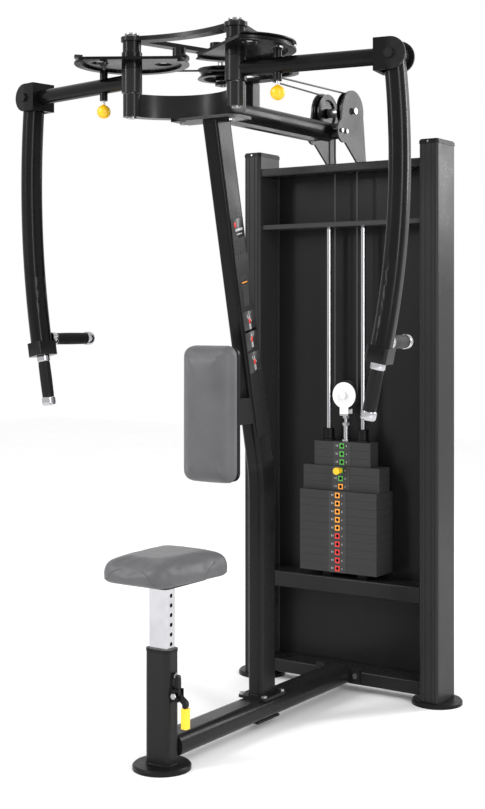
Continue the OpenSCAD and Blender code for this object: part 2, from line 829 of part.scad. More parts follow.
module cam() {
    rim_profile = [
        [groove_r - 12, -rim_h / 2], [rim_out, -rim_h / 2], [rim_out, -rim_h / 2 + 3],
        [groove_r, -cable_d / 2 - groove_gap], [groove_r, cable_d / 2 + groove_gap],
        [rim_out, rim_h / 2 - 3], [rim_out, rim_h / 2], [groove_r - 12, rim_h / 2]
    ];
    arm_angle = 180 - arm_sweep;
    translate([-pivot_x, pivot_y, cable_z]) {
        color([0.12, 0.12, 0.13]) difference() {
            union() {
                translate([0, 0, -cam_t / 2]) linear_extrude(cam_t) cam_plate2d();
                rotate([0, 0, cam_start]) rotate_extrude(angle = cam_end - cam_start, $fn = 160) polygon(rim_profile);
                translate([0, 0, cam_hub_z - cable_z]) cylinder(r = hub_r, h = cam_hub_h);
            }
            translate([0, 0, cam_hub_z - cable_z - 1]) cylinder(r = shaft_r + run_gap, h = cam_hub_h + 2);
            translate([0, 0, -cam_t]) linear_extrude(2 * cam_t) index_slot2d(arm_angle);
            for (a = [52, 210]) rotate([0, 0, a]) translate([88, 0, -cam_t]) cylinder(r = 24, h = 2 * cam_t);
        }
        color("black") rotate([0, 0, 32]) translate([128, 0, rim_h / 2]) cylinder(r = 18, h = 24);
    }
}

// Arc slot with a round lobe at each index position
module index_slot2d(arm_angle) {
    span = index_step * (index_count - 1);
    slot_w = 2 * (pin_r + pin_slack);
    difference() {
        intersection() {
            circle(pin_radius + slot_w / 2, $fn = 128);
            sector(pin_radius + slot_w, arm_angle - span, arm_angle);
        }
        circle(pin_radius - slot_w / 2, $fn = 128);
    }
    for (i = [0 : index_count - 1]) rotate(arm_angle - i * index_step) translate([pin_radius, 0]) circle(8);
}

// Frame along the left arm: origin at the pivot, +X out along the arm, +Y the arm's front side
module along_arm() {
    translate([-pivot_x, pivot_y, arm_z]) rotate([0, 0, 180 - arm_sweep]) children();
}

module elbow_outline() {
    circle(elbow_r);
    translate([-elbow_back, -elbow_r]) square([elbow_back, 2 * elbow_r]);
}

module arm() {
    tube_end = arm_len - elbow_back + 4;
    hub_low = arm_hub_z - arm_z;
    color([0.13, 0.13, 0.14]) along_arm() {
        difference() {
            union() {
                translate([0, 0, hub_low]) cylinder(r = hub_r, h = arm_hub_h);
                rotate([0, 90, 0]) cylinder(r = arm_d / 2, h = tube_end);
                translate([pin_radius, 0, -40]) cylinder(r = 11, h = 84);
            }
            translate([0, 0, hub_low - 1]) cylinder(r = shaft_r + run_gap, h = arm_hub_h + 2);
            translate([hub_r + 12, 0, 0]) rotate([0, 90, 0])
                cylinder(r = arm_d / 2 - tube_wall, h = pin_radius - hub_r - 28);
            translate([pin_radius + 16, 0, 0]) rotate([0, 90, 0])
                cylinder(r = arm_d / 2 - tube_wall, h = tube_end - pin_radius - 26);
            translate([pin_radius, 0, -41]) cylinder(r = pin_r + 0.4, h = 90);
        }
        translate([arm_len, 0, 0]) elbow_bracket();
    }
}

module elbow_bracket() {
    for (s = [-1, 1]) difference() {
        translate([0, s * (elbow_gap + plate_t / 2) + plate_t / 2, 0]) rotate([90, 0, 0])
            linear_extrude(plate_t) elbow_outline();
        translate([0, s * (elbow_gap + plate_t / 2) + plate_t, 0]) rotate([90, 0, 0])
            cylinder(r = elbow_bolt_r, h = 2 * plate_t);
    }
    for (z = [-elbow_r, elbow_r - plate_t]) {
        translate([-elbow_back, -elbow_gap, z]) cube([flange_len, 2 * elbow_gap, plate_t]);
    }
    translate([-elbow_back, -elbow_gap, -elbow_r + plate_t])
        cube([elbow_wall_t, 2 * elbow_gap, 2 * elbow_r - 2 * plate_t]);
    translate([0, elbow_gap + plate_t + 2, 0]) rotate([90, 0, 0]) {
        cylinder(r = elbow_bolt_r, h = 2 * (elbow_gap + plate_t + 2));
        translate([0, 0, -5]) cylinder(r = 13, h = 7, $fn = 6);
        translate([0, 0, 2 * (elbow_gap + plate_t) + 2]) cylinder(r = 13, h = 7, $fn = 6);
    }
}

module pull_pin() {
    ball_z = -70;
    along_arm() translate([pin_radius, 0, 0]) {
        color("silver") translate([0, 0, ball_z]) cylinder(r = pin_r, h = cable_z + 10 - arm_z - ball_z);
        color("gold") difference() {
            translate([0, 0, ball_z]) sphere(r = 19);
            translate([0, 0, ball_z]) cylinder(r = pin_r, h = 30);
        }
    }
}

// Down arm: an arc in the arm's plane, from the elbow bolt to the end block
module on_arc(angle) {
    rotate([0, -fore_lean, 0]) translate([-fore_r, 0, 0]) rotate([0, angle, 0]) translate([fore_r, 0, 0]) children();
}

module forearm() {
    head_r = 28;
    color([0.13, 0.13, 0.14]) along_arm() translate([arm_len, 0, 0]) {
        difference() {
            union() {
                rotate([0, -fore_lean, 0]) translate([-fore_r, 0, 0]) rotate([-90, 0, 0])
                    rotate_extrude(angle = fore_arc, $fn = 720) translate([fore_r, 0])
                        rounded_tube(fore_w, fore_t, fore_w / 2 - 2, tube_wall);
                rotate([90, 0, 0]) translate([0, 0, -fore_t / 2]) cylinder(r = head_r, h = fore_t);
            }
            rotate([90, 0, 0]) translate([0, 0, -fore_t]) cylinder(r = elbow_bolt_r + run_gap, h = 2 * fore_t);
        }
        on_arc(fore_arc) translate([0, 0, -block_h]) linear_extrude(block_h)
            rounded(fore_w + 2 * block_lip, fore_t + 2 * block_lip, 8);
    }
}

// Collar, grip sleeve and end knob of one hand grip, along +Z
module hand_grip(len) {
    collar = 18;
    knob = 24;
    color("silver") {
        cylinder(r = grip_d / 2 + 2, h = collar);
        translate([0, 0, collar + len]) cylinder(r = grip_d / 2 + 3, h = knob);
    }
    color("black") translate([0, 0, collar]) cylinder(r = grip_d / 2, h = len);
}

module handles() {
    along_arm() translate([arm_len, 0, 0]) {
        on_arc(fore_arc) translate([0, 0, -block_h]) rotate([180, 0, 0]) hand_grip(grip_len);
        on_arc(handle_angle) translate([0, -fore_t / 2 - block_lip, 0]) rotate([90, 0, 0])
            hand_grip(level_grip_len);
    }
}

module cam_left() {
    cam();
}

module cam_right() {
    mirror([1, 0, 0]) cam();
}

module arm_left() {
    arm();
}

module arm_right() {
    mirror([1, 0, 0]) arm();
}

module pull_pin_left() {
    pull_pin();
}

module pull_pin_right() {
    mirror([1, 0, 0]) pull_pin();
}

module forearm_left() {
    forearm();
}

module forearm_right() {
    mirror([1, 0, 0]) forearm();
}

module handles_left() {
    handles();
}

module handles_right() {
    mirror([1, 0, 0]) handles();
}

// ---- seat ----

module seat_post() {
    length = seat_z - board_t - sleeve_top + post_depth;
    color("silver") translate([0, seat_y, 0]) difference() {
        translate([0, 0, sleeve_top - post_depth]) linear_extrude(length)
            rounded_tube(post_w, post_d, post_corner, post_wall);
        for (z = [sleeve_top + 20 - 5 * hole_pitch : hole_pitch : seat_z - 40]) {
            translate([0, 0, z]) rotate([0, 90, 0]) cylinder(r = hole_r, h = post_w);
        }
    }
    color("black") translate([0, seat_y + seat_shift, seat_z - board_t]) linear_extrude(board_t)
        rounded(150, 180, 12);
}

module seat_outline() {
    corner = 42;
    half_back = seat_w / 2 - corner;
    half_front = half_back - 14;
    half_len = seat_len / 2 - corner;
    hull() {
        for (s = [-1, 1]) {
            translate([s * half_back, half_len]) circle(corner, $fn = 48);
            translate([s * half_front, -half_len]) circle(corner, $fn = 48);
        }
    }
}

module seat_pad() {
    color("dimgray") translate([0, seat_y + seat_shift, seat_z]) linear_extrude(seat_t) seat_outline();
}

module seat_lever() {
    bar = 12;
    color("black") translate([lever_x, seat_y, lever_z]) difference() {
        rotate([90, 0, 0]) translate([0, 0, -bar / 2]) linear_extrude(bar) {
            bar2d([0, 0], [-1, 44], lever_w);
            bar2d([0, 0], [lever_reach, -18], lever_w);
            bar2d([lever_reach, -18], [lever_reach, lever_w / 2 - lever_drop], lever_w);
        }
        rotate([90, 0, 0]) translate([0, 0, -20]) cylinder(r = 4 + run_gap, h = 40);
    }
}

module lever_grip() {
    grip_h = 52;
    color("gold") translate([lever_x + lever_reach, seat_y, lever_z - lever_drop - grip_h])
        linear_extrude(grip_h) rounded(19, 19, 4);
}

module frame_bolts() {
    color("silver") {
        for (sx = [-1, 1], sy = [-1, 1]) {
            translate([sx * (mast_foot_w / 2 - 10), mast_y + sy * (mast_foot_d / 2 - 10), beam_top])
                translate([0, 0, mast_foot_t]) cylinder(r = 9, h = 6, $fn = 6);
        }
        for (sx = [-1, 1]) {
            translate([sx * (beam_w / 2 + 18), tower_y - bottom_beam_d / 2 - 6, 56]) rotate([90, 0, 0])
                cylinder(r = 9, h = 6, $fn = 6);
            translate([sx * 82, yoke_centre_y + yoke_r - 14, mast_top]) rotate([180, 0, 0])
                cylinder(r = 9, h = 7, $fn = 6);
            translate([sx * column_x, tower_y - column_d / 2 - 1.5, tower_h - 8]) rotate([90, 0, 0])
                cylinder(r = 3, h = 2);
            for (dy = [-14, 14]) {
                translate([sx * (bracket_x + bracket_t / 2), cross_y + dy, top_beam_z]) rotate([0, sx * 90, 0])
                    cylinder(r = 7, h = 5, $fn = 6);
            }
        }
    }
}

floor_feet();
seat_sleeve();
sleeve_bush();
lever_bracket();
base_beam();
joint_plates();
mast();
mast_placard();
pad_stub();
backrest_board();
backrest_pad();
yoke();
rear_post();
bridge_plate();
pivot_shafts();
top_beam();
pulley_bracket();
pulley_axles();
tower_column_left();
tower_column_right();
column_caps();
top_crossbar();
shelf_bar();
stack_beam();
bottom_beam();
back_panel();
guide_rods();
stack_buffers();
parked_plates();
parked_labels();
frame_bolts();
cable_run();
lifted_plates();
lifted_labels();
rod_bushes();
selector_stem();
hook_link();
pulley_cheeks();
cable_drops();
cable_loop();
selector_pin();
moving_pulley();
top_pulley_left();
top_pulley_right();
idler_left();
idler_right();
cam_left();
cam_right();
arm_left();
arm_right();
pull_pin_left();
pull_pin_right();
forearm_left();
forearm_right();
handles_left();
handles_right();
seat_post();
seat_pad();
seat_lever();
lever_grip();
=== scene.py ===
"""Pec fly and rear delt machine: looks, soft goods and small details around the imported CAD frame."""
import json
import math
import bpy
import bmesh
from mathutils import Matrix, Vector
from mathutils.bvhtree import BVHTree


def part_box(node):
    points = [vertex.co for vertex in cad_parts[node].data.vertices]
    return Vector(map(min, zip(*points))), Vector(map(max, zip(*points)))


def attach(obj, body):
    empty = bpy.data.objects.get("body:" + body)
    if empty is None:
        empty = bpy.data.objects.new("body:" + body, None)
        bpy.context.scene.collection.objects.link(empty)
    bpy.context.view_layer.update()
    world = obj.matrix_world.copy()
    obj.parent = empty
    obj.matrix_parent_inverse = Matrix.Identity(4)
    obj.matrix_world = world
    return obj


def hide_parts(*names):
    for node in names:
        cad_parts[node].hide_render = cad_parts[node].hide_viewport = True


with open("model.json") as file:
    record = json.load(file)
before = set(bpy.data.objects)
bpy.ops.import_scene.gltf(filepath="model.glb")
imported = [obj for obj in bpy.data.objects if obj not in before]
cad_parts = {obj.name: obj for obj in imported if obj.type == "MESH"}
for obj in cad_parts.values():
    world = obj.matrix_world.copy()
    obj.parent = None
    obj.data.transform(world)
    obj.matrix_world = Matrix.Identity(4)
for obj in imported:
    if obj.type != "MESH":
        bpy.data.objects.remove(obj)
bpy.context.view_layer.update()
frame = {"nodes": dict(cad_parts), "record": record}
scene = bpy.context.scene
nodes = frame["nodes"]
MM = 0.001


# ---- small helpers ----

def box_of(node):
    low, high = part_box(node)
    return Vector(low), Vector(high)


def middle_of(node):
    low, high = box_of(node)
    return (low + high) / 2


def link(obj):
    scene.collection.objects.link(obj)
    return obj


def mesh_object(name, verts, faces, smooth=True):
    mesh = bpy.data.meshes.new(name)
    mesh.from_pydata([tuple(v) for v in verts], [], faces)
    mesh.update()
    tidy = bmesh.new()
    tidy.from_mesh(mesh)
    bmesh.ops.recalc_face_normals(tidy, faces=tidy.faces)
    tidy.to_mesh(mesh)
    tidy.free()
    for face in mesh.polygons:
        face.use_smooth = smooth
    return link(bpy.data.objects.new(name, mesh))


def apply_modifiers(obj):
    bpy.context.view_layer.update()
    graph = bpy.context.evaluated_depsgraph_get()
    mesh = bpy.data.meshes.new_from_object(obj.evaluated_get(graph))
    obj.modifiers.clear()
    obj.data = mesh
    return obj


def place(obj, material, body):
    obj.data.materials.clear()
    obj.data.materials.append(material)
    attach(obj, body)
    return obj


def frame_to(axis):
    """Rotation that takes +Z to the given direction."""
    return Vector((0, 0, 1)).rotation_difference(Vector(axis).normalized()).to_matrix().to_4x4()


def lathe(name, profile, at, axis, sides=48, ripple=None):
    """Turned piece: profile is a list of (radius, height) from one end of the axis to the other."""
    verts = []
    for radius, height in profile:
        for k in range(sides):
            turn = 2 * math.pi * k / sides
            r = radius if ripple is None else radius + ripple(turn, height)
            verts.append((r * math.cos(turn), r * math.sin(turn), height))
    faces = []
    for ring in range(len(profile) - 1):
        for k in range(sides):
            a, b = ring * sides + k, ring * sides + (k + 1) % sides
            faces.append((a, b, b + sides, a + sides))
    faces.append(tuple(reversed(range(sides))))
    faces.append(tuple(range(len(verts) - sides, len(verts))))
    obj = mesh_object(name, verts, faces)
    spin = Matrix.Translation(Vector(at)) @ frame_to(axis)
    obj.data.transform(spin)
    sharp_edges(obj, 35)
    return obj


def sharp_edges(obj, degrees):
    obj.data.set_sharp_from_angle(angle=math.radians(degrees))


def tube(name, points, radius, sides=10, closed=False):
    """Round bead or cord along points, as a mesh."""
    curve = bpy.data.curves.new(name, "CURVE")
    curve.dimensions = "3D"
    curve.bevel_depth = radius
    curve.bevel_resolution = max(1, sides // 4)
    curve.use_fill_caps = not closed
    spline = curve.splines.new("POLY")
    spline.points.add(len(points) - 1)
    for target, p in zip(spline.points, points):
        target.co = (p[0], p[1], p[2], 1)
    spline.use_cyclic_u = closed
    obj = link(bpy.data.objects.new(name, curve))
    bpy.context.view_layer.update()
    graph = bpy.context.evaluated_depsgraph_get()
    mesh = bpy.data.meshes.new_from_object(obj.evaluated_get(graph))
    bpy.data.objects.remove(obj)
    for face in mesh.polygons:
        face.use_smooth = True
    return link(bpy.data.objects.new(name, mesh))


def joined(name, objects):
    """One object from several."""
    whole = bmesh.new()
    for obj in objects:
        whole.from_mesh(obj.data)
        bpy.data.objects.remove(obj)
    mesh = bpy.data.meshes.new(name)
    whole.to_mesh(mesh)
    whole.free()
    return link(bpy.data.objects.new(name, mesh))


def block(name, low, high, bevel=0.001, segments=2):
    """Rounded-edge block between two corners."""
    shape = bmesh.new()
    bmesh.ops.create_cube(shape, size=1)
    low, high = Vector(low), Vector(high)
    size = high - low
    bmesh.ops.scale(shape, vec=size, verts=shape.verts)
    bmesh.ops.translate(shape, vec=(low + high) / 2, verts=shape.verts)
    bmesh.ops.bevel(shape, geom=shape.edges[:], offset=bevel, segments=segments, affect="EDGES", profile=0.5)
    mesh = bpy.data.meshes.new(name)
    shape.to_mesh(mesh)
    shape.free()
    for face in mesh.polygons:
        face.use_smooth = True
    obj = link(bpy.data.objects.new(name, mesh))
    sharp_edges(obj, 50)
    return obj


# ---- materials ----

def new_material(name, **sockets):
    material = bpy.data.materials.new(name)
    material.use_nodes = True
    shader = material.node_tree.nodes["Principled BSDF"]
    for key, value in sockets.items():
        shader.inputs[key.replace("_", " ")].default_value = value
    return material, material.node_tree, shader


def coordinates(tree, scale=(1, 1, 1)):
    source = tree.nodes.new("ShaderNodeTexCoord")
    mapping = tree.nodes.new("ShaderNodeMapping")
    mapping.inputs["Scale"].default_value = scale
    tree.links.new(source.outputs["Object"], mapping.inputs["Vector"])
    return mapping.outputs["Vector"]


def noise(tree, vector, scale, detail=3.0, rough=0.5):
    node = tree.nodes.new("ShaderNodeTexNoise")
    node.inputs["Scale"].default_value = scale
    node.inputs["Detail"].default_value = detail
    node.inputs["Roughness"].default_value = rough
    tree.links.new(vector, node.inputs["Vector"])
    return node.outputs["Fac"]


def ramp(tree, value, stops):
    node = tree.nodes.new("ShaderNodeValToRGB")
    while len(node.color_ramp.elements) < len(stops):
        node.color_ramp.elements.new(0.5)
    for element, (at, colour) in zip(node.color_ramp.elements, stops):
        element.position = at
        element.color = (*colour, 1) if len(colour) == 3 else (*colour,)
    tree.links.new(value, node.inputs["Fac"])
    return node.outputs["Color"]


def grey(value):
    return (value, value, value)


def bump(tree, shader, heights):
    """Chains bumps; heights is a list of (value, strength, distance)."""
    last = None
    for value, strength, distance in heights:
        node = tree.nodes.new("ShaderNodeBump")
        node.inputs["Strength"].default_value = strength
        node.inputs["Distance"].default_value = distance
        tree.links.new(value, node.inputs["Height"])
        if last is not None:
            tree.links.new(last, node.inputs["Normal"])
        last = node.outputs["Normal"]
    tree.links.new(last, shader.inputs["Normal"])


def edge_wear_and_highlight(tree, low, high):
    """Ramp on pointiness: 0 on flats and 1 along sharp edges, used for edge wear and for a painted edge highlight.
    """
    geometry = tree.nodes.new("ShaderNodeNewGeometry")
    return ramp(tree, geometry.outputs["Pointiness"], [(low, grey(0)), (high, grey(1))])


def mix(tree, factor, a, b):
    node = tree.nodes.new("ShaderNodeMix")
    node.data_type = "RGBA"
    for socket, value in ((node.inputs[6], a), (node.inputs[7], b)):
        if isinstance(value, tuple):
            socket.default_value = (*value, 1)
        else:
            tree.links.new(value, socket)
    if isinstance(factor, float):
        node.inputs[0].default_value = factor
    else:
        tree.links.new(factor, node.inputs[0])
    return node.outputs[2]


def powder_coat(name, base, rough=0.34, grain=0.25):
    """Satin powder coat: fine orange peel, soft cloudy tone and sharp edges lightened as a painted highlight."""
    material, tree, shader = new_material(name, Specular_IOR_Level=0.13, Coat_Weight=0.02, Coat_Roughness=0.12)
    vector = coordinates(tree)
    cloud = noise(tree, vector, 9, 4)
    peel = noise(tree, vector, 520, 2)
    fine = noise(tree, vector, 2400, 1)
    dark, light = grey(base * 0.82), tuple(base * c for c in (1.16, 1.17, 1.2))
    tone = ramp(tree, cloud, [(0.3, dark), (0.7, light)])
    # Sharp edges are mixed towards a lighter grey here: a painted edge highlight.
    worn_and_lit_edges = edge_wear_and_highlight(tree, 0.53, 0.62)
    tree.links.new(mix(tree, worn_and_lit_edges, tone, grey(base * 2.2 + 0.006)), shader.inputs["Base Color"])
    rough_map = ramp(tree, cloud, [(0.3, grey(rough - 0.05)), (0.7, grey(rough + 0.07))])
    tree.links.new(rough_map, shader.inputs["Roughness"])
    bump(tree, shader, [(peel, grain, 0.0004), (fine, 0.12, 0.0001)])
    return material


def vinyl():
    """Grey upholstery vinyl: pebbled grain, faint creases and a soft sheen."""
    material, tree, shader = new_material("vinyl_grey", Specular_IOR_Level=0.42, Sheen_Weight=0.12,
                                          Sheen_Roughness=0.45)
    vector = coordinates(tree)
    pebble = tree.nodes.new("ShaderNodeTexVoronoi")
    pebble.feature = "SMOOTH_F1"
    pebble.inputs["Scale"].default_value = 620
    pebble.inputs["Smoothness"].default_value = 0.6
    tree.links.new(vector, pebble.inputs["Vector"])
    cloud = noise(tree, vector, 11, 4)
    crease = noise(tree, vector, 46, 6, 0.65)
    fine = noise(tree, vector, 1500, 2)
    tone = ramp(tree, cloud, [(0.25, (0.074, 0.073, 0.078)), (0.75, (0.098, 0.097, 0.103))])
    pits = ramp(tree, pebble.outputs["Distance"], [(0.0, grey(1.0)), (0.8, grey(0.78))])
    shaded = tree.nodes.new("ShaderNodeMix")
    shaded.data_type = "RGBA"
    shaded.blend_type = "MULTIPLY"
    shaded.inputs[0].default_value = 0.8
    tree.links.new(tone, shaded.inputs[6])
    tree.links.new(pits, shaded.inputs[7])
    tree.links.new(shaded.outputs[2], shader.inputs["Base Color"])
    tree.links.new(ramp(tree, crease, [(0.3, grey(0.42)), (0.7, grey(0.56))]), shader.inputs["Roughness"])
    bump(tree, shader, [(pebble.outputs["Distance"], 0.35, 0.00025), (crease, 0.14, 0.0006), (fine, 0.1, 0.0001)])
    return material


def metal(name, base, rough, streak=(1, 1, 1), anis=0.0, scratch=0.06):
    """Bare, plated or polished metal with fine drawn streaks and faint smudges."""
    material, tree, shader = new_material(name, Metallic=1.0, Anisotropic=anis)
    vector = coordinates(tree, streak)
    lines = noise(tree, vector, 300, 3)
    smudge = noise(tree, coordinates(tree), 14, 4)
    tone = ramp(tree, smudge, [(0.3, tuple(c * 0.9 for c in base)), (0.7, base)])
    tree.links.new(tone, shader.inputs["Base Color"])
    tree.links.new(ramp(tree, lines, [(0.3, grey(rough * 0.7)), (0.7, grey(rough * 1.5))]),
                   shader.inputs["Roughness"])
    bump(tree, shader, [(lines, scratch, 0.0002)])
    return material


def plastic(name, base, rough=0.4, coat=0.0, grain=0.2, scale=900, specular=0.5):
    """Moulded plastic with a fine texture, slight tone changes and rubbed edges."""
    material, tree, shader = new_material(name, Coat_Weight=coat, Coat_Roughness=0.1, Specular_IOR_Level=specular)
    vector = coordinates(tree)
    cloud = noise(tree, vector, 24, 3)
    fine = noise(tree, vector, scale, 2)
    tone = ramp(tree, cloud, [(0.3, tuple(c * 0.85 for c in base)), (0.7, base)])
    worn_and_lit_edges = edge_wear_and_highlight(tree, 0.54, 0.64)
    lighter = tuple(min(1.0, c * 1.3 + 0.005) for c in base)
    tree.links.new(mix(tree, worn_and_lit_edges, tone, lighter), shader.inputs["Base Color"])
    tree.links.new(ramp(tree, cloud, [(0.3, grey(rough - 0.05)), (0.7, grey(rough + 0.07))]),
                   shader.inputs["Roughness"])
    bump(tree, shader, [(fine, grain, 0.0002)])
    return material


def plate_steel():
    """Painted weight plates: rolled faces with fine horizontal streaks, scuffed at the corners."""
    material, tree, shader = new_material("plate_steel", Specular_IOR_Level=0.12)
    streaks = noise(tree, coordinates(tree, (1, 1, 14)), 90, 4)
    cloud = noise(tree, coordinates(tree), 30, 4)
    tone = ramp(tree, streaks, [(0.3, grey(0.003)), (0.7, grey(0.008))])
    worn_and_lit_edges = edge_wear_and_highlight(tree, 0.52, 0.6)
    tree.links.new(mix(tree, worn_and_lit_edges, tone, grey(0.035)), shader.inputs["Base Color"])
    tree.links.new(ramp(tree, cloud, [(0.3, grey(0.42)), (0.7, grey(0.6))]), shader.inputs["Roughness"])
    bump(tree, shader, [(streaks, 0.2, 0.0003), (noise(tree, coordinates(tree), 700, 2), 0.2, 0.0002)])
    return material


def two_tone(name, node, axis, at, low, high):
    """One material for a node with two finishes, parted at one place along an axis.

    low and high are each (colour, metallic, roughness).
    """
    material, tree, shader = new_material(name)
    source = tree.nodes.new("ShaderNodeTexCoord")
    parts = tree.nodes.new("ShaderNodeSeparateXYZ")
    tree.links.new(source.outputs["Object"], parts.inputs[0])
    past = tree.nodes.new("ShaderNodeMath")
    past.operation = "GREATER_THAN"
    past.inputs[1].default_value = at - nodes[node].matrix_world.translation["XYZ".index(axis)]
    tree.links.new(parts.outputs[axis], past.inputs[0])
    mask = past.outputs[0]
    cloud = noise(tree, coordinates(tree), 26, 4)
    fine = noise(tree, coordinates(tree), 700, 2)
    tones = [ramp(tree, cloud, [(0.3, tuple(c * 0.86 for c in side[0])), (0.7, side[0])]) for side in (low, high)]
    tree.links.new(mix(tree, mask, *tones), shader.inputs["Base Color"])
    tree.links.new(mix(tree, mask, grey(low[1]), grey(high[1])), shader.inputs["Metallic"])
    roughs = [ramp(tree, cloud, [(0.3, grey(side[2] * 0.85)), (0.7, grey(side[2] * 1.2))]) for side in (low, high)]
    tree.links.new(mix(tree, mask, *roughs), shader.inputs["Roughness"])
    bump(tree, shader, [(fine, 0.08, 0.0002)])
    return material


CHROME_TONE = ((0.52, 0.52, 0.54), 1.0, 0.16)
STEEL_TONE = ((0.45, 0.45, 0.47), 1.0, 0.25)
YELLOW_TONE = ((0.84, 0.50, 0.008), 0.0, 0.28)
BOARD_TONE = ((0.012, 0.012, 0.012), 0.0, 0.5)
SEAT_BOARD_Z = 0.480
BALL_TOP_Z = 1.755
PIN_HEAD_Y = box_of("lifted_labels")[0].y - 0.001

steel = powder_coat("powder_black", 0.0030, 0.25)
steel_arm = powder_coat("powder_arm", 0.0034, 0.22, 0.18)
column = powder_coat("powder_charcoal", 0.0075, 0.3)
dark_panel = powder_coat("panel_black", 0.0018, 0.34, 0.15)
shelf = powder_coat("powder_grey", 0.014, 0.34)
post_tone = two_tone("post_and_board", "seat_post", "Z", SEAT_BOARD_Z, CHROME_TONE, BOARD_TONE)
pin_tone = {side: two_tone("pull_pin_" + side, "pull_pin_" + side, "Z", BALL_TOP_Z, YELLOW_TONE, STEEL_TONE)
            for side in ("left", "right")}
selector_tone = two_tone("selector_pin", "selector_pin", "Y", PIN_HEAD_Y, YELLOW_TONE, STEEL_TONE)
pads = vinyl()
seam_thread = plastic("seam_thread", (0.045, 0.045, 0.048), 0.6, 0.0, 0.5, 2500)
chrome = metal("chrome", (0.46, 0.46, 0.48), 0.09, (1, 1, 0.05), 0.0, 0.02)
zinc = metal("zinc", (0.38, 0.38, 0.39), 0.3)
black_plastic = plastic("black_plastic", (0.004, 0.004, 0.0044), 0.36, specular=0.14)
gloss_plastic = plastic("black_gloss", (0.003, 0.003, 0.0034), 0.24, 0.02, 0.08, specular=0.16)
rubber = plastic("rubber", (0.004, 0.004, 0.004), 0.46, 0.0, 0.5, 1400, specular=0.18)
yellow = plastic("yellow_gloss", (0.84, 0.50, 0.008), 0.28, 0.2, 0.06)
white = plastic("white_disc", (0.72, 0.72, 0.72), 0.3, 0.3, 0.06)
red = plastic("label_red", (0.55, 0.012, 0.01), 0.4)
orange = plastic("label_orange", (0.85, 0.27, 0.012), 0.4)
green = plastic("label_green", (0.045, 0.27, 0.03), 0.4)
label_black = plastic("label_black", (0.01, 0.01, 0.01), 0.35, 0.1, 0.05)
label_white = plastic("label_white", (0.34, 0.34, 0.34), 0.4, 0.1, 0.05)
plates = plate_steel()
cable_mat = plastic("cable_black", (0.012, 0.012, 0.012), 0.35, 0.1, 0.4, 3000)

FINISH = {
    "frame_steel": steel, "column_steel": column, "black_plastic": black_plastic, "rubber": rubber,
    "upholstery": pads, "board": black_plastic, "chrome": chrome, "zinc": zinc, "plate_iron": plates,
    "label": label_black, "yellow": yellow, "white_disc": white, "cable": cable_mat,
}
SPECIAL = {
    "arm_left": steel_arm, "arm_right": steel_arm, "forearm_left": steel_arm, "forearm_right": steel_arm,
    "back_panel": dark_panel, "shelf_bar": shelf, "seat_post": post_tone, "top_pulley_left": gloss_plastic,
    "top_pulley_right": gloss_plastic, "idler_left": gloss_plastic, "idler_right": gloss_plastic,
    "mast_placard": gloss_plastic, "pull_pin_left": pin_tone["left"], "pull_pin_right": pin_tone["right"],
    "selector_pin": selector_tone,
}


def paint_frame():
    slot_of = {part["node"]: part["material_slot"] for part in frame["record"]["subparts"]}
    for name, obj in nodes.items():
        material = SPECIAL.get(name, FINISH[slot_of[name]])
        obj.data.materials.clear()
        obj.data.materials.append(material)


# ---- camera, floor and light ----

CAMERA_TURN = math.radians(34.3)
CAMERA_DEPTH, CAMERA_LATERAL, CAMERA_HEIGHT = 3.5696, -0.2085, 1.159
CAMERA_LENS, CAMERA_SHIFT = 61.4, -0.1045


def set_camera():
    """Level camera placed by its distance and sideways offset from the seat post."""
    seat = middle_of("seat_sleeve")
    turn = CAMERA_TURN
    ahead, right = Vector((-math.sin(turn), math.cos(turn), 0)), Vector((math.cos(turn), math.sin(turn), 0))
    where = Vector((seat.x, seat.y, 0)) - ahead * CAMERA_DEPTH - right * CAMERA_LATERAL
    data = bpy.data.cameras.new("camera")
    data.lens = CAMERA_LENS
    data.shift_y = CAMERA_SHIFT
    obj = link(bpy.data.objects.new("camera", data))
    obj.location = (where.x, where.y, CAMERA_HEIGHT)
    obj.rotation_euler = (math.radians(90), 0, turn)
    scene.camera = obj


def area(name, at, target, size, power, colour=(1, 1, 1)):
    data = bpy.data.lights.new(name, "AREA")
    data.shape = "RECTANGLE"
    data.size, data.size_y = size
    data.energy = power
    data.color = colour
    obj = link(bpy.data.objects.new(name, data))
    obj.location = at
    obj.rotation_euler = (Vector(target) - Vector(at)).to_track_quat("-Z", "Y").to_euler()


def set_stage():
    floor = mesh_object("floor", [(-9, -9, 0), (9, -9, 0), (9, 9, 0), (-9, 9, 0)], [(0, 1, 2, 3)])
    material, tree, shader = new_material("floor_pale", Roughness=0.75, Specular_IOR_Level=0.25)
    tone = ramp(tree, noise(tree, coordinates(tree), 3, 3), [(0.3, grey(0.95)), (0.7, grey(0.97))])
    tree.links.new(tone, shader.inputs["Base Color"])
    floor.data.materials.append(material)
    world = bpy.data.worlds.new("studio")
    world.use_nodes = True
    sky = world.node_tree.nodes["Background"]
    sky.inputs["Color"].default_value = (1, 1, 1, 1)
    sky.inputs["Strength"].default_value = 1.0
    scene.world = world
    scene.view_settings.view_transform = "Standard"
    area("key", (-2.4, -3.6, 3.4), (0, 0, 1.1), (0.9, 2.6), 120)
    area("fill", (3.6, -1.8, 2.0), (0, 0, 1.0), (0.6, 2.8), 75)
    area("rim", (2.2, 3.4, 2.8), (0, 0, 1.2), (1.0, 2.4), 80)


set_camera()
set_stage()
paint_frame()


# ---- cushions ----

def rounded_outline(half_x, half_y, corner, taper=0.0, per_corner=14):
    """Points and outward normals of a rounded rectangle; taper narrows the low-Y end."""
    points = []
    for sx, sy, start in ((1, 1, 0), (-1, 1, 90), (-1, -1, 180), (1, -1, 270)):
        reach = half_x - (taper if sy < 0 else 0)
        centre = Vector((sx * (reach - corner), sy * (half_y - corner)))
        for k in range(per_corner + 1):
            a = math.radians(start + 90 * k / per_corner)
            normal = Vector((math.cos(a), math.sin(a)))
            points.append((centre + normal * corner, normal))
    return points


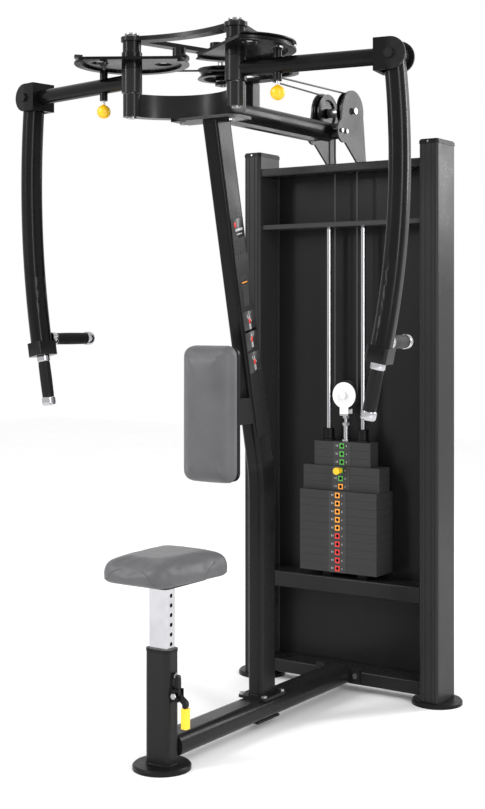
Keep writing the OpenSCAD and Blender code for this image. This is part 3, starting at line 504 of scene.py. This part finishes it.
def cushion_mesh(name, outline, profile):
    """Closed cushion: rings of the outline drawn in by each profile step's inset, at its height."""
    count = len(outline)
    verts, faces = [], []
    for inset, height in profile:
        for point, normal in outline:
            flat = point - normal * inset
            verts.append((flat.x, flat.y, height))
    for ring in range(len(profile) - 1):
        for k in range(count):
            a, b = ring * count + k, ring * count + (k + 1) % count
            faces.append((a, b, b + count, a + count))
    faces.append(tuple(reversed(range(count))))
    faces.append(tuple(range(len(verts) - count, len(verts))))
    return mesh_object(name, verts, faces)


def inflate(obj, voxel, cap, hold_below, pressure=4.0):
    """Swells a cushion by cloth pressure, with its base held and no point moving more than cap."""
    remesh = obj.modifiers.new("remesh", "REMESH")
    remesh.mode = "VOXEL"
    remesh.voxel_size = voxel
    apply_modifiers(obj)
    before = [v.co.copy() for v in obj.data.vertices]
    held = obj.vertex_groups.new(name="held")
    held.add([v.index for v in obj.data.vertices if v.co.z < hold_below], 1.0, "REPLACE")
    cloth = obj.modifiers.new("cloth", "CLOTH")
    settings = cloth.settings
    settings.use_pressure = True
    settings.uniform_pressure_force = pressure
    settings.effector_weights.gravity = 0
    settings.vertex_group_mass = "held"
    settings.tension_stiffness = 28
    settings.compression_stiffness = 28
    settings.bending_stiffness = 2.5
    cloth.point_cache.frame_start = 1
    cloth.point_cache.frame_end = 20
    for step in range(1, 21):
        scene.frame_set(step)
    apply_modifiers(obj)
    scene.frame_set(1)
    for vertex, start in zip(obj.data.vertices, before):
        move = vertex.co - start
        if move.length > cap:
            vertex.co = start + move.normalized() * cap
    smooth = obj.modifiers.new("smooth", "SMOOTH")
    smooth.factor = 0.5
    smooth.iterations = 12
    finer = obj.modifiers.new("finer", "SUBSURF")
    finer.levels = finer.render_levels = 1
    apply_modifiers(obj)
    for face in obj.data.polygons:
        face.use_smooth = True
    return obj


def on_surface(tree, points, sink=0.0):
    """The nearest surface point to each given point, pushed out by -sink."""
    found = []
    for p in points:
        place_at, normal, _, _ = tree.find_nearest(Vector(p))
        found.append(place_at - normal * sink)
    return found


def surface_tree(obj):
    return BVHTree.FromPolygons([v.co for v in obj.data.vertices], [tuple(f.vertices) for f in obj.data.polygons])


def dent(obj, path, depth, width):
    """Draws the surface in along a seam."""
    for vertex in obj.data.vertices:
        near = min((vertex.co - p).length for p in path)
        if near < width:
            vertex.co -= vertex.normal * depth * (1 - near / width) ** 2


def make_seat():
    low, high = box_of("seat_pad")
    centre = Vector(((low.x + high.x) / 2, (low.y + high.y) / 2, low.z))
    thick, swell = high.z - low.z, 0.004
    outline = rounded_outline((high.x - low.x) / 2 - swell, (high.y - low.y) / 2 - swell, 0.046, 0.014)
    profile = [(0.060, 0), (0.012, 0), (0.004, 0.003), (0.001, 0.010), (0, 0.022), (0.001, 0.034),
               (0.005, 0.045), (0.012, 0.053), (0.024, 0.059), (0.044, 0.062), (0.075, thick - 0.003)]
    pad = inflate(cushion_mesh("seat_cushion", outline, profile), 0.005, 0.006, 0.004)
    tree = surface_tree(pad)
    half_x, half_y = (high.x - low.x) / 2, (high.y - low.y) / 2
    seams = []
    for sx in (1, -1):
        near = [(sx * (half_x - 0.045 - 0.050 * t), -half_y, 0.004 + 0.050 * t ** 0.8) for t in steps(14)]
        side = [(sx * half_x, half_y * (0.10 + 0.34 * t), 0.004 + 0.050 * t ** 0.8) for t in steps(14)]
        seams += [on_surface(tree, near), on_surface(tree, side)]
    rim = [point_out(p, n, 0.0) for p, n in outline]
    rim_path = on_surface(tree, [(p.x, p.y, 0.009) for p in rim])
    for path in seams:
        dent(pad, path, 0.0016, 0.006)
    beads = [tube("seat_seam", on_surface(surface_tree(pad), path, 0.0002), 0.0008, 8) for path in seams]
    piping = tube("seat_piping", rim_path, 0.0014, 8, closed=True)
    seam = joined("seat_seams", beads)
    for piece, material in ((pad, pads), (seam, seam_thread), (piping, pads)):
        piece.data.transform(Matrix.Translation(centre))
        place(piece, material, "seat")
    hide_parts("seat_pad")
    return pad


def steps(count):
    return [k / (count - 1) for k in range(count)]


def point_out(point, normal, reach):
    return Vector((point.x + normal.x * reach, point.y + normal.y * reach))


def make_back_pad():
    """Back pad: the cushion is built lying down, face up, then stood against its board."""
    low, high = box_of("backrest_pad")
    thick, swell = high.y - low.y, 0.004
    half_x, half_z = (high.x - low.x) / 2 - swell, (high.z - low.z) / 2 - swell
    outline = rounded_outline(half_x, half_z, 0.030)
    profile = [(0.050, 0), (0.006, 0), (0.002, 0.002), (0, 0.010), (0.001, 0.024), (0.005, 0.034),
               (0.012, 0.042), (0.024, 0.047), (0.045, thick - 0.003)]
    pad = inflate(cushion_mesh("back_cushion", outline, profile), 0.005, 0.006, 0.003)
    back = Vector((0, high.y, (low.z + high.z) / 2))
    stand = Matrix.Translation(back) @ Matrix.Rotation(math.radians(90), 4, "X")
    tree = surface_tree(pad)
    rim_path = on_surface(tree, [(p.x, p.y, 0.008) for p, _ in outline])
    piping = tube("back_piping", rim_path, 0.0014, 8, closed=True)
    for piece in (pad, piping):
        piece.data.transform(stand)
        place(piece, pads, "frame")
    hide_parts("backrest_pad")
    return pad


make_seat()
make_back_pad()


# ---- hand grips ----

def grip_solids(node):
    """Vertex points of each of a handle node's two separate grips, read from its mesh."""
    source = nodes[node].data
    islands = []
    shape = bmesh.new()
    shape.from_mesh(source)
    bmesh.ops.remove_doubles(shape, verts=shape.verts, dist=1e-6)
    left = set(shape.verts)
    while left:
        stack, found = [left.pop()], []
        while stack:
            v = stack.pop()
            found.append(v.co.copy())
            for edge in v.link_edges:
                other = edge.other_vert(v)
                if other in left:
                    left.remove(other)
                    stack.append(other)
        islands.append(sorted(found, key=tuple))
    shape.free()
    return sorted(islands, key=lambda points: points[0].z)


def main_axis(points, toward):
    """End points of a turned solid's own axis, from the end nearest to toward."""
    centre = sum(points, Vector()) / len(points)
    arms = [p - centre for p in points]
    axis = max(arms, key=lambda v: v.length).normalized()
    for _ in range(40):
        axis = sum((v * v.dot(axis) for v in arms), Vector()).normalized()
    along = [v.dot(axis) for v in arms]
    a, b = centre + axis * min(along), centre + axis * max(along)
    return (a, b) if (a - toward).length < (b - toward).length else (b, a)


def make_grip(name, start, end, body):
    """One hand grip: ribbed rubber sleeve, turned collar and end cap."""
    axis = (end - start).normalized()
    length = (end - start).length
    collar, knob, grip_r = 18 * MM, 24 * MM, 16.8 * MM
    soft = [(grip_r - 0.003, collar - 0.001), (grip_r - 0.0005, collar + 0.001)]
    reach = length - collar - knob
    for t in steps(40):
        swell = 0.0006 * math.sin(math.pi * t)
        soft.append((grip_r + swell, collar + 0.0015 + (reach - 0.003) * t))
    soft += [(grip_r - 0.0005, collar + reach - 0.0005), (grip_r - 0.003, collar + reach + 0.001)]

    def ribs(turn, height):
        inside = collar + 0.010 < height < collar + reach - 0.010
        return -0.0005 if inside and math.cos(26 * turn) < -0.35 else 0.0

    sleeve = lathe(name + "_sleeve", soft, start, axis, 156, ribs)
    ring = [(0.0150, 0.0003), (0.0172, 0.0003), (0.0188, 0.0016), (0.0190, 0.004), (0.0190, collar - 0.004),
            (0.0184, collar - 0.0015), (0.0170, collar), (0.0120, collar)]
    collar_obj = lathe(name + "_collar", ring, start, axis, 64)
    base = collar + reach
    cap = [(0.0120, base), (0.0178, base), (0.0196, base + 0.0015), (0.0200, base + 0.004), (0.0200, base + 0.015),
           (0.0192, base + 0.0195), (0.0172, base + 0.0225), (0.0130, base + 0.0238), (0.0060, base + 0.0240)]
    cap_obj = lathe(name + "_cap", cap, start, axis, 64)
    place(sleeve, rubber, body)
    place(collar_obj, chrome, body)
    place(cap_obj, chrome, body)
    return sleeve


def make_handles():
    for side in ("left", "right"):
        low, high = box_of("forearm_" + side)
        inner = Vector(((low.x + high.x) / 2, (low.y + high.y) / 2, low.z + 0.06))
        first = None
        for k, island in enumerate(grip_solids("handles_" + side)):
            start, end = main_axis(island, inner)
            first = make_grip(f"grip_{side}_{k + 1}", start, end, "forearm_" + side)
        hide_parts("handles_" + side)


make_handles()


# ---- weight stack labels ----

PLATE_PITCH = 25.4 * MM
PLATE_GAP = 0.4 * MM
PLATE_COUNT = 16
PARKED = 12
HEAVY_COUNT, MIDDLE_COUNT = 10, 13
HEAVY_HALF, MIDDLE_HALF, LIGHT_HALF = 53 * MM, 33 * MM, 25 * MM
RED_COUNT, ORANGE_COUNT = 5, 11
LABEL_RISE = 1.6 * MM
SQUARE_SIDE, SQUARE_HOLE, SQUARE_RISE = 16.5 * MM, 5.4 * MM, 0.5 * MM


def square_ring(name, at, side, hole, depth):
    """Square frame with a round hole, facing -Y."""
    shape = bmesh.new()
    count = 32
    rings = []
    for y in (0.0, -depth):
        outer, inner = [], []
        for k in range(count):
            a = 2 * math.pi * k / count
            c, s = math.cos(a), math.sin(a)
            reach = side / 2 / max(abs(c), abs(s))
            outer.append(shape.verts.new((at.x + c * reach, at.y + y, at.z + s * reach)))
            inner.append(shape.verts.new((at.x + c * hole, at.y + y, at.z + s * hole)))
        rings.append((outer, inner))
    (o0, i0), (o1, i1) = rings
    for k in range(count):
        n = (k + 1) % count
        shape.faces.new((o1[k], o1[n], i1[n], i1[k]))
        shape.faces.new((o0[k], i0[k], i0[n], o0[n]))
        shape.faces.new((o0[k], o0[n], o1[n], o1[k]))
        shape.faces.new((i0[k], i1[k], i1[n], i0[n]))
    mesh = bpy.data.meshes.new(name)
    shape.to_mesh(mesh)
    shape.free()
    return link(bpy.data.objects.new(name, mesh))


def make_labels():
    """Coloured selector squares with tick marks over each plate's black strip."""
    low, _ = box_of("parked_plates")
    for index in range(PLATE_COUNT):
        body = "frame" if index < PARKED else "stack"
        depth = HEAVY_HALF if index < HEAVY_COUNT else MIDDLE_HALF if index < MIDDLE_COUNT else LIGHT_HALF
        front = middle_of("guide_rods").y - depth
        z = low.z + index * PLATE_PITCH + (PLATE_PITCH - PLATE_GAP) / 2
        tint, paint = (("red", red) if index < RED_COUNT
                       else ("orange", orange) if index < ORANGE_COUNT else ("green", green))
        face = Vector((0, front - LABEL_RISE, z))
        ring = square_ring(f"square_{tint}_{index + 1}", face, SQUARE_SIDE, SQUARE_HOLE, SQUARE_RISE)
        place(ring, paint, body)
        marks = []
        for side in (-1, 1):
            for row in range(2 if side < 0 else 1):
                x = side * (16 + 5 * row) * MM
                tall = (6.5 if (index + row) % 2 else 4.5) * MM
                marks.append(block("tick", (x - 0.9 * MM, front - 1.15 * MM, z - tall / 2),
                                   (x + 0.9 * MM, front - 0.75 * MM, z + tall / 2), 0.1 * MM, 1))
        mark = joined(f"ticks_{index + 1}", marks)
        place(mark, label_white, body)


make_labels()


# ---- placard on the mast: three picture tiles, a diagram and a small label ----

# The mast's bend, and the lean of the part above it
BEND_Y, BEND_Z = 25.75 * MM, 712 * MM
LEAN = math.radians(12.8)
PLACARD_FACE = 25.2 * MM


def mast_piece(name, parts):
    """Joins flat pieces drawn in the mast's own frame and stands them against its right side."""
    whole = joined(name, parts)
    whole.data.transform(Matrix.Translation((PLACARD_FACE, BEND_Y, BEND_Z)) @ Matrix.Rotation(LEAN, 4, "X"))
    return whole


def flat(y, z, w, h, rise):
    """Thin tile centred at (y, z) along the mast, standing proud by rise."""
    return block("tile", (0, (y - w / 2) * MM, (z - h / 2) * MM), (rise * MM, (y + w / 2) * MM, (z + h / 2) * MM),
                 0.08 * MM, 1)


def limb(points, radius, rise):
    return tube("limb", [(rise * MM, y * MM, z * MM) for y, z in points], radius * MM, 6)


def make_placard():
    tiles = [(455, -1), (403, 1), (338, -1)]
    backs = [flat(0, z, 58, 58, 0.5) for z, _ in tiles] + [flat(0, 718, 60, 54, 0.5)]
    place(mast_piece("placard_tiles", backs), label_black, "frame")
    pale, shirts = [], []
    for z, lean in tiles:
        pale += [flat(0, z + 12, 5, 6, 0.8), flat(-2.5, z - 15, 3.4, 16, 0.8), flat(2.5, z - 15, 3.4, 16, 0.8)]
        pale += [limb([(lean * 4, z + 7), (lean * 9, z + 12), (lean * 10, z + 20)], 1.1, 0.5),
                 limb([(-lean * 4, z + 7), (-lean * 8, z - 2)], 1.1, 0.5)]
        shirts.append(flat(0, z + 1, 8, 14, 0.8))
    pale += [flat(4, 714, 34, 7, 0.8), flat(4, 702, 26, 3, 0.8)]
    shirts.append(flat(-12, 729, 8, 14, 0.8))
    place(mast_piece("placard_figures", pale), label_white, "frame")
    place(mast_piece("placard_shirts", shirts), red, "frame")
    diagram = [limb([(-14 + 4 * k, 500), (-10 + 4 * k, 528 + 6 * (k % 2)), (-12 + 5 * k, 560)], 0.7, 0.2)
               for k in range(6)]
    diagram.append(limb([(-14, 574), (-6, 582), (6, 582), (14, 574)], 0.8, 0.2))
    place(mast_piece("placard_diagram", diagram), seam_thread, "frame")
    place(mast_piece("placard_accent", [flat(0, 566, 26, 3, 0.5)]), orange, "frame")


make_placard()


# ---- cable wound on the cams, weld beads and small fixings ----

WRAP_START, WRAP_END = 121.8, 150.0
CABLE_R = 2.75 * MM
CABLE_Z = 1.860
CAM_R = 0.150
SHAFT_HEAD_R = 19.5 * MM


def make_cable_wraps():
    """The last length of cable on each cam, up to the clamp that holds its end."""
    for side, sign in (("left", -1), ("right", 1)):
        low, high = box_of("pivot_shafts")
        pivot = Vector((sign * (high.x - SHAFT_HEAD_R), (low.y + high.y) / 2, CABLE_Z))
        path = []
        for t in steps(24):
            a = math.radians(WRAP_START + (WRAP_END - WRAP_START) * t)
            path.append(pivot + Vector((-sign * CAM_R * math.cos(a), CAM_R * math.sin(a), 0)))
        place(tube("cable_wrap_" + side, path, CABLE_R, 12), cable_mat, "cam_" + side)
        place(lathe("cable_end_" + side, [(0.003, 0), (0.0046, 0.001), (0.0046, 0.013), (0.003, 0.014)], path[-1],
                    path[-1] - path[-2], 24), zinc, "cam_" + side)


def bead_loop(name, points):
    """Weld bead with its ripples, as a closed ring."""
    radius, ripple = 2.2 * MM, 0.4 * MM
    shaped = [p + Vector((0, 0, ripple * math.sin(k * 2.1))) for k, p in enumerate(points)]
    place(tube(name, shaped, radius, 8, closed=True), steel, "frame")


def make_welds():
    mast_low, _ = box_of("mast")
    ring = rounded_outline(0.0245, 0.0405, 0.012)
    bead_loop("weld_mast_foot", [Vector((p.x, BEND_Y + p.y, mast_low.z + 0.001)) for p, _ in ring])
    sleeve = middle_of("seat_sleeve")
    ring = rounded_outline(0.0385, 0.0265, 0.014)
    bead_loop("weld_sleeve_foot", [Vector((p.x, sleeve.y + p.y, 0.0145)) for p, _ in ring])


def make_lever_bolts():
    """Zinc nut on the lever's pivot and the plunger's hexagon above it."""
    low, high = box_of("lever_bracket")
    y = middle_of("seat_sleeve").y
    hexagon = [(0.0035, 0), (0.0078, 0.0003), (0.0084, 0.0012), (0.0084, 0.0045), (0.0076, 0.0053), (0.003, 0.0053)]
    place(lathe("lever_pivot_nut", hexagon, (high.x - 0.010, low.y - 0.0002, 0.197), (0, -1, 0), 6), zinc, "frame")
    place(lathe("plunger_nut", hexagon, (0.0421, y, 0.245), (1, 0, 0), 6), zinc, "frame")


make_cable_wraps()
make_welds()
make_lever_bolts()
